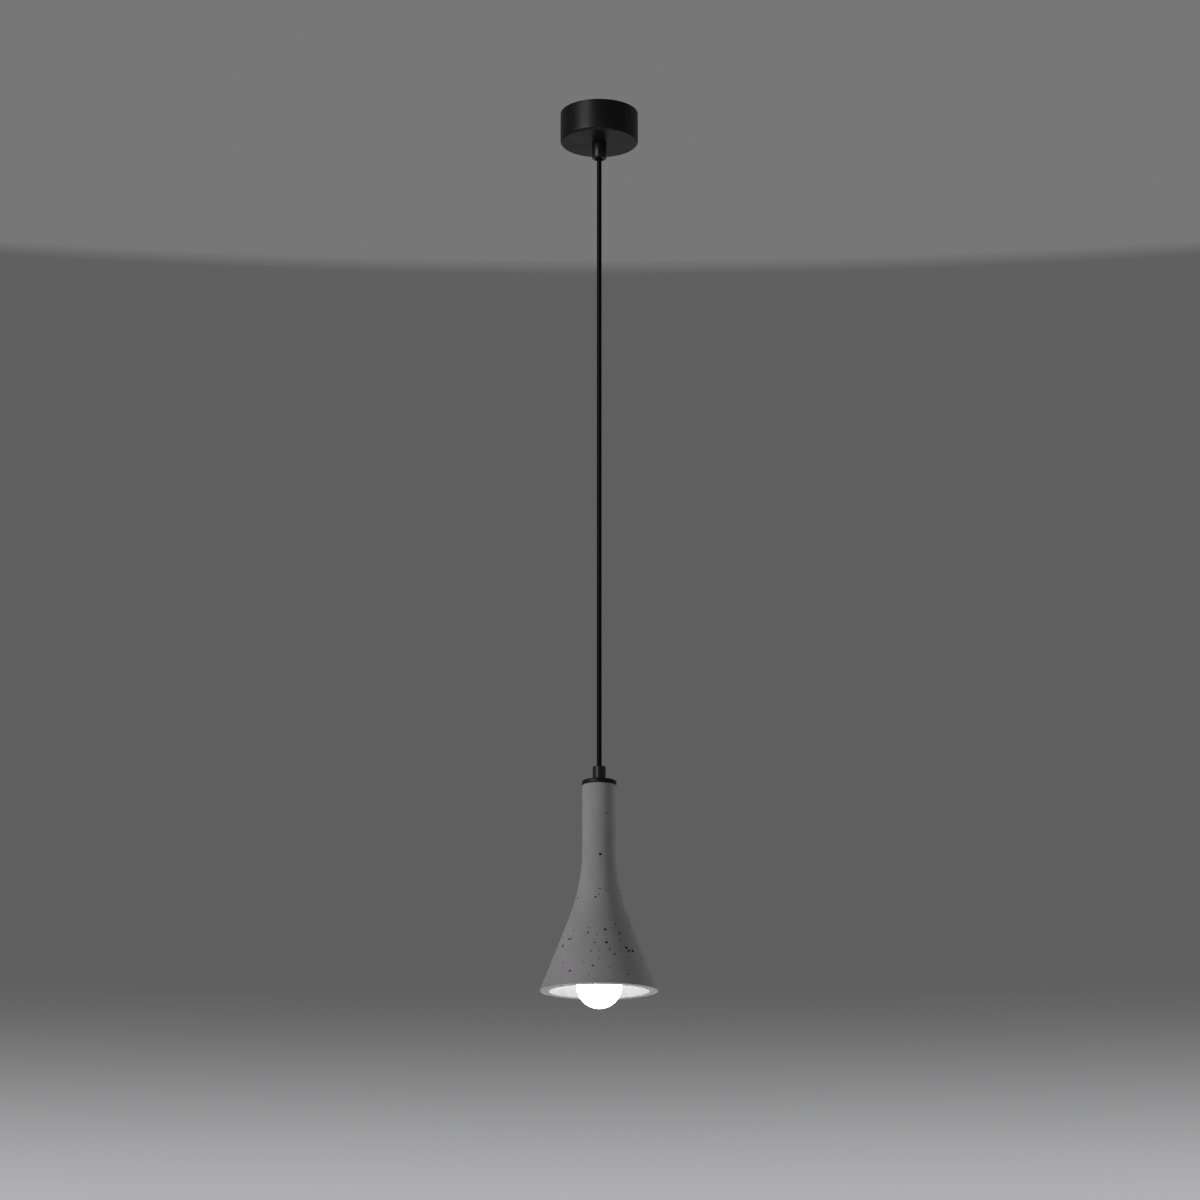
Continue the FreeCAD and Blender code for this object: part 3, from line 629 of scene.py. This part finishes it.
def grip(name, base, mouth, body, node, screw_node):
    """A cord grip: plain barrel, chamfered end, bell mouth, and a screw hole in the back."""
    r = radius(node)
    way = 1 if mouth > base else -1
    length = abs(mouth - base)
    thread_r, bore_r = radius("canopy_nipple"), CABLE_D / 2 + 0.05 * MM
    mouth_bore, mouth_r = 3.7 * MM, 4.9 * MM

    def at(up):
        """The level this many millimetres from the grip's base."""
        return base + way * up * MM

    full = length / MM
    chamfer, bell, mouth_depth, thread_depth = 0.9, 2, 5.2, 7
    outline = rounded([
        (thread_r, at(0), 0),
        (r, at(0), 0.2 * MM),
        (r, at(full - chamfer), 0.35 * MM),
        (r - chamfer * MM, at(full), 0.35 * MM),
        (mouth_r, at(full), 0.25 * MM),
        (mouth_bore, at(full - bell), 0.4 * MM),
        (mouth_bore, at(full - mouth_depth), 0),
        (bore_r, at(full - mouth_depth), 0),
        (bore_r, at(thread_depth), 0),
        (thread_r, at(thread_depth), 0),
    ], 6)
    barrel = lathe(name, subdivided(outline, 2 * MM), 128)
    screw_low, screw_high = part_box(screw_node)
    centre = (screw_low + screw_high) / 2
    outer = Vector((0, 2 * r, centre.z))
    screw_hole_d = 3.0 * MM
    inner = Vector((0, CABLE_D / 2, centre.z))
    cut_away(barrel, bar("hole", inner, outer, screw_hole_d, 32))
    smooth(paint(barrel, LOOKS["black_plastic"]))
    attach(barrel, body)
    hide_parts(node)


canopy()
grip("upper_grip", high("upper_gland"), low("upper_gland"), "canopy", "upper_gland",
     "upper_gland_screw")
grip("lower_grip", low("lower_gland"), high("lower_gland"), "shade", "lower_gland",
     "lower_gland_screw")


# ---- shade --------------------------------------------------------------------------------

BLEND_R = 194 * MM
WALL = 9.5 * MM
POCKET_R = radius("holder_skirt") + 1.3 * MM
BORE_R = 10.5 * MM
FINE = 1.4 * MM  # the longest edge along the shade's outside and its open cone
COARSE = 4.0 * MM  # the same in the bore and the holder's pocket
# Faces this far under the outside lie in a bubble and get its painted shade.
PORE_START, PORE_END = 0.16 * MM, 2.6 * MM  # how far under the outside a face is in a bubble


def outer_radius(level):
    """The shade's outer radius at a height above the rim: cone, arc, straight neck."""
    slope = math.tan(CONE_ANGLE)
    corner = (RIM_R - NECK_R) / slope
    tangent = BLEND_R * math.tan(CONE_ANGLE / 2)
    neck_start = corner + tangent
    cone_end = corner - tangent * math.cos(CONE_ANGLE)
    if level >= neck_start:
        return NECK_R
    if level <= cone_end:
        return RIM_R - level * slope
    down = neck_start - level
    return NECK_R + BLEND_R - math.sqrt(BLEND_R**2 - down**2)


def shade_outline():
    """The closed outline: up the outside, across the neck's top, and down the bore."""
    neck_edge = 1.2 * MM
    inner_r = RIM_R - WALL
    pocket_start = (inner_r - POCKET_R) / math.tan(CONE_ANGLE)
    steps = 40
    start_h, end_h = RIM_EDGE * 1.3, SHADE_H - neck_edge
    flank = [
        Vector((outer_radius(h), RIM + h))
        for h in (start_h + (end_h - start_h) * k / steps for k in range(steps + 1))
    ]
    corners = rounded([
        (flank[0].x, flank[0].y, 0),
        (flank[-1].x, flank[-1].y, 0),
        (NECK_R, NECK_TOP, neck_edge * 0.999),
        (BORE_R, NECK_TOP, 0.5 * MM),
        (BORE_R, LEDGE, 0.5 * MM),
        (POCKET_R, LEDGE, 1.0 * MM),
        (POCKET_R, RIM + pocket_start, 3.0 * MM),
        (inner_r, RIM, 0.5 * MM),
        (RIM_R, RIM, RIM_EDGE),
    ], 6)
    rest = corners[2:]
    outline = flank + rest
    fine = []
    for a, b in zip(outline, outline[1:] + outline[:1]):
        hidden = max(a.x, b.x) < POCKET_R + 0.5 * MM and b.y < NECK_TOP - 1 * MM and a not in flank
        step = COARSE if hidden else FINE
        cuts = max(1, math.ceil((b - a).length / step))
        fine += [a.lerp(b, k / cuts) for k in range(cuts)]
    return fine


def cast_surface(point):
    """Small unevenness of a cast surface: a soft wave all over, and tiny chips at the rim."""
    out = Vector((point.x, point.y, 0)).normalized()
    wave = noise.noise(point * 38) * 0.10 + noise.noise(point * 120) * 0.03
    near_rim = max(0.0, 1 - (point.z - RIM) / (3 * MM))
    chip = min(0.0, noise.noise(point * 260) + 0.22) * 1.1 * near_rim
    moved = point - out * abs(wave) * MM * 0.6
    moved += out * chip * MM * (1 if Vector((point.x, point.y)).length > RIM_R - WALL / 2 else 0)
    moved.z -= chip * MM * 0.5
    return moved


def pore(work, centre, normal, size, rng):
    """Adds one air bubble to a cutter: a lumpy ball, squashed a little along the surface."""
    turn = normal.to_track_quat("Z", "Y").to_matrix().to_4x4()
    made = bmesh.ops.create_icosphere(work, subdivisions=2, radius=size / 2)["verts"]
    seed = Vector((rng.random(), rng.random(), rng.random())) * 50
    stretch = Vector((rng.uniform(0.85, 1.25), rng.uniform(0.8, 1.1), rng.uniform(0.9, 1.3)))
    for vert in made:
        lump = 1 + 0.22 * noise.noise(vert.co / size * 2.2 + seed)
        local = Vector(a * b for a, b in zip(vert.co, stretch)) * lump
        vert.co = centre + turn @ (local - Vector((0, 0, size * 0.22)))


def surface_at(angle, h):
    """A point on the shade's outside, and the way it faces. Angle 0 faces the front."""
    step = 0.5 * MM
    r = outer_radius(h)
    slope = (outer_radius(h + step) - outer_radius(h - step)) / (2 * step)
    across = Vector((math.sin(angle), -math.cos(angle), 0))
    normal = (across - Vector((0, 0, slope))).normalized()
    return across * r + Vector((0, 0, RIM + h)), normal


# Most air bubbles lie in three bands that rise a little round the cone: each band's height
# above the rim, its rise and its spread in millimetres, and its number of bubbles.
PORE_BANDS = [(95, 5, 2.5, 16), (55, 8, 5.0, 26), (25, 4, 6.0, 28)]
CROWDED_SIDE = math.radians(25)  # more bubbles lie about this side, right of the front
CROWDED_SHARE = 0.35
PINHOLE = 0.9 * MM


def pore_angle(rng):
    """Some bubbles gather about the crowded side, and the others lie anywhere."""
    if rng.random() < CROWDED_SHARE:
        return rng.gauss(CROWDED_SIDE, 0.7)
    return rng.uniform(0, TURN)


def pore_width(rng):
    """A bubble's width: most are near 2 mm, a few reach 3.1 mm."""
    return min(3.1, 1.3 + rng.expovariate(1.2)) * MM


def pore_places(rng):
    """Air bubbles as (angle, height, width): the bands, then strays and pinholes."""
    places = []
    for height, rise, spread, count in PORE_BANDS:
        for _ in range(count):
            angle = pore_angle(rng)
            h = height + rise * math.sin(angle) + rng.gauss(0, spread)
            places.append((angle, h * MM, pore_width(rng)))
    places += [(pore_angle(rng), rng.uniform(3, 60) * MM, pore_width(rng)) for _ in range(18)]
    places += [(pore_angle(rng), rng.uniform(60, 195) * MM, pore_width(rng)) for _ in range(6)]
    places += [(pore_angle(rng), rng.uniform(3, 34) * MM, PINHOLE) for _ in range(24)]
    return places


def shade():
    rng = random.Random(7)
    body = lathe("shade_concrete", shade_outline(), 280, cast_surface)
    work = bmesh.new()
    taken = []
    for angle, h, size in pore_places(rng):
        centre, normal = surface_at(angle, h)
        if h < size or any((centre - c).length < (size + s) * 0.45 for c, s in taken):
            continue
        taken.append((centre, size))
        pore(work, centre, normal, size, rng)
    mesh = bpy.data.meshes.new("pores")
    work.to_mesh(mesh)
    work.free()
    cut_away(body, new_piece("pores", mesh))
    paint(body, LOOKS["concrete"], LOOKS["pore"], LOOKS["concrete_inside"])
    # Faces inside the air bubbles get the pore look, which is painted shade; the faces inside the cone get the
    # inner concrete.
    for face in body.data.polygons:
        r = math.hypot(face.center.x, face.center.y)
        h = face.center.z - RIM
        below = outer_radius(min(max(h, 0), SHADE_H)) - r
        if PORE_START < below < PORE_END and 3 * MM < h < SHADE_H - 3 * MM:
            face.material_index = 1
        elif below > WALL * 0.8 and h > 0.5 * MM:
            face.material_index = 2
    smooth(body, 40)
    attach(body, "shade")
    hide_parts("concrete_shade")


def cap():
    """The black cap on the neck, with its rounded shoulder and the spigot inside the bore."""
    bottom, top = NECK_TOP, high("shade_cap")
    r = radius("shade_cap")
    seat_r, hole_r = radius("lower_gland") + 0.05 * MM, radius("threaded_rod") + 0.05 * MM
    seat = low("lower_gland")
    spigot_r, spigot_bottom = BORE_R - 0.3 * MM, low("shade_cap")
    groove_r, groove_top = BORE_R + 3 * MM, high("cap_gasket")
    outline = rounded([
        (r, bottom, 0.2 * MM),
        (r, top, 2.0 * MM),
        (seat_r, top, 0.2 * MM),
        (seat_r, seat, 0),
        (hole_r, seat, 0),
        (hole_r, bottom, 0),
        (spigot_r - 2 * MM, bottom, 0),
        (spigot_r - 2 * MM, spigot_bottom, 0.3 * MM),
        (spigot_r, spigot_bottom, 0.3 * MM),
        (spigot_r, bottom, 0),
        (BORE_R, bottom, 0),
        (BORE_R, groove_top, 0),
        (groove_r, groove_top, 0),
        (groove_r, bottom, 0),
    ], 8)
    piece = smooth(paint(lathe("neck_cap", subdivided(outline, 3 * MM), 192), LOOKS["black_coat"]))
    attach(piece, "shade")
    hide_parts("shade_cap")


shade()
cap()


# ---- lampholder ---------------------------------------------------------------------------


def blend_in(value, start, end):
    """0 before start, 1 after end, and smooth between them."""
    t = min(max((value - start) / (end - start), 0), 1)
    return t * t * (3 - 2 * t)


def threaded(name, levels, radius_at, thickness, segments=96):
    """A thin shell with a rolled screw thread. radius_at(angle, level) is its outer radius."""
    mesh = bpy.data.meshes.new(name)
    verts = []
    for s in range(segments):
        angle = TURN * s / segments
        way = Vector((math.cos(angle), math.sin(angle), 0))
        outer = [way * radius_at(angle, z) + Vector((0, 0, z)) for z in levels]
        inner = [p - way * thickness for p in reversed(outer)]
        verts += outer + inner
    mesh.from_pydata(verts, [], ring_faces(segments, 2 * len(levels)))
    face_outwards(mesh)
    return smooth(new_piece(name, mesh), 50)


def stepped(start, end, step):
    count = max(2, math.ceil((end - start) / step))
    return [start + (end - start) * k / count for k in range(count + 1)]


THREAD_DEPTH = 0.5 * MM  # half of the height from root to crest
THREAD_STEP = PITCH / 14  # the spacing of the mesh rows along the thread


def thread_wave(angle, level):
    """A right-handed rolled thread, from -1 at its root to 1 at its crest."""
    return math.cos(TURN * level / PITCH - angle)


def screw_shell():
    bottom, top = low("screw_shell"), high("screw_shell")
    crest = radius("screw_shell")

    def radius_at(angle, level):
        threadlike = crest - THREAD_DEPTH + THREAD_DEPTH * thread_wave(angle, level)
        part = blend_in(level, bottom + 2.3 * MM, bottom + 3.8 * MM)
        return crest + (threadlike - crest) * part

    levels = stepped(bottom, top, THREAD_STEP)
    piece = threaded("holder_screw_shell", levels, radius_at, 0.45 * MM)
    paint(piece, LOOKS["nickel_shell"])
    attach(piece, "shade")
    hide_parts("screw_shell")


def lamp_screw_cap():
    bottom, top = low("lamp_cap"), high("lamp_cap")
    crest = radius("lamp_cap")

    def radius_at(angle, level):
        root = crest - 2 * THREAD_DEPTH
        threadlike = crest - THREAD_DEPTH + THREAD_DEPTH * thread_wave(angle, level)
        lower = blend_in(level, bottom + 1.7 * MM, bottom + 3.2 * MM)
        upper = 1 - blend_in(level, top - 5.0 * MM, top - 3.2 * MM)
        r = crest + (threadlike - crest) * lower
        r = root + (r - root) * upper
        shoulder = max(0.0, level - (top - 1.8 * MM))
        return r - shoulder * 0.45

    levels = stepped(bottom, top, THREAD_STEP)
    piece = threaded("lamp_screw_cap", levels, radius_at, 0.5 * MM)
    paint(piece, LOOKS["nickel_shell"])
    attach(piece, "lamp")
    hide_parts("lamp_cap")
    end_plate = lathe("lamp_cap_end", rounded([
        (9.2 * MM, top - 2.2 * MM, 0.2 * MM),
        (crest - 1.6 * MM, top - 2.2 * MM, 0.2 * MM),
        (crest - 1.9 * MM, top - 0.1 * MM, 0.3 * MM),
        (9.2 * MM, top - 0.1 * MM, 0.3 * MM),
    ]), 96)
    smooth(paint(end_plate, LOOKS["nickel_shell"]))
    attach(end_plate, "lamp")


def holder_skirt():
    """The plain skirt round the lamp's cap, with grip ribs and the step into the cap."""
    bottom, top = low("holder_skirt"), high("holder_skirt")
    split = low("holder_cap")
    r = radius("holder_skirt")
    wall = 1.8 * MM
    step_r = r - wall - 0.05 * MM
    lip_bore = radius("screw_shell") + 0.6 * MM
    outline = rounded([
        (r - wall, bottom, 0.3 * MM),
        (r, bottom, 0.8 * MM),
        (r, split, 0.25 * MM),
        (step_r, split, 0),
        (step_r, top, 0.3 * MM),
        (step_r - wall, top, 0.3 * MM),
        (step_r - wall, split - 2 * MM, 0),
        (r - wall, split - 2 * MM, 0),
        (r - wall, bottom + 1.8 * MM, 0),
        (lip_bore, bottom + 1.8 * MM, 0.2 * MM),
        (lip_bore, bottom + 0.8 * MM, 0.2 * MM),
        (r - wall, bottom + 0.8 * MM, 0),
    ], 5)
    rib_low, rib_high = bottom + 5 * MM, split - 2 * MM
    rib_count, rib_depth = 48, 0.35 * MM

    def ribs(point):
        reach = math.hypot(point.x, point.y)
        if reach < r - 0.3 * MM:
            return point
        start = blend_in(point.z, rib_low, rib_low + MM)
        end = 1 - blend_in(point.z, rib_high - MM, rib_high)
        groove = max(0.0, math.cos(math.atan2(point.y, point.x) * rib_count)) ** 2
        outwards = Vector((point.x, point.y, 0)) / reach
        return point - outwards * groove * (start * end) * rib_depth

    skirt = lathe("holder_skirt_shell", subdivided(outline, 1.2 * MM), 384, ribs)
    smooth(paint(skirt, LOOKS["holder_plastic"]))
    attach(skirt, "shade")
    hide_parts("holder_skirt")


screw_shell()
holder_skirt()


# ---- lamp ---------------------------------------------------------------------------------

GLOBE_LOW, GLOBE_HIGH = low("lamp_globe"), high("lamp_globe")
GLOBE_R = 22.5 * MM
GLOBE_Z = GLOBE_LOW + GLOBE_R


def globe():
    """The opal globe: a thin ball, open at the edge that is glued into the collar."""
    wall = 1.2 * MM
    steps = 64

    def arc(r):
        top = math.acos((GLOBE_HIGH - GLOBE_Z) / r)
        return [(r * math.sin(math.pi - (math.pi - top) * k / steps),
                 GLOBE_Z + r * math.cos(math.pi - (math.pi - top) * k / steps))
                for k in range(steps + 1)]

    outer, inner = arc(GLOBE_R), arc(GLOBE_R - wall)
    piece = capped("globe_shell", outer + inner[::-1], 160)
    smooth(paint(piece, LOOKS["opal_globe"]), 60)
    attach(piece, "lamp")
    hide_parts("lamp_globe")


def collar():
    """The lamp's white housing: a smooth flare from the globe's edge down to the cap."""
    bottom, top = low("lamp_collar"), low("lamp_cap")
    edge_r = math.sqrt(GLOBE_R**2 - (bottom - GLOBE_Z) ** 2)
    lip_r = radius("lamp_cap") + 0.6 * MM
    spigot_r = radius("lamp_cap") - 0.55 * MM  # the part inside the metal cap
    spigot_bore = radius("lamp_cap") - 2.05 * MM
    board_r = radius("led_board") + 0.1 * MM
    steps = 14
    flare = []
    flare_top = top - 1.4 * MM
    for k in range(steps + 1):
        t = k / steps
        r = edge_r + (lip_r - edge_r) * blend_in(t, 0, 1)
        flare.append(Vector((r, bottom + (flare_top - bottom) * t)))
    rest = rounded([
        (lip_r, flare_top, 0),
        (lip_r, top, 0.4 * MM),
        (spigot_r, top, 0),
        (spigot_r, top + 3 * MM, 0),
        (spigot_bore, top + 3 * MM, 0),
        (spigot_bore, bottom + 2.2 * MM, 0),
        (board_r, bottom + 1.6 * MM, 0),
        (board_r, bottom, 0),
    ], 5)
    piece = lathe("lamp_housing", subdivided(flare + rest[1:], 2 * MM), 160)
    smooth(paint(piece, LOOKS["lamp_housing"]))
    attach(piece, "lamp")
    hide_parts("lamp_collar")


globe()
collar()
lamp_screw_cap()


# ---- the CAD nodes that stay --------------------------------------------------------------

SLOTS = {row["node"]: row["material_slot"] for row in frame["record"]["subparts"]}
for node, slot in SLOTS.items():
    kept = frame["nodes"][node]
    if kept.hide_render:
        continue
    paint(kept, LOOKS[slot])
    kept.data.shade_smooth()
    kept.data.set_sharp_from_angle(angle=math.radians(30))
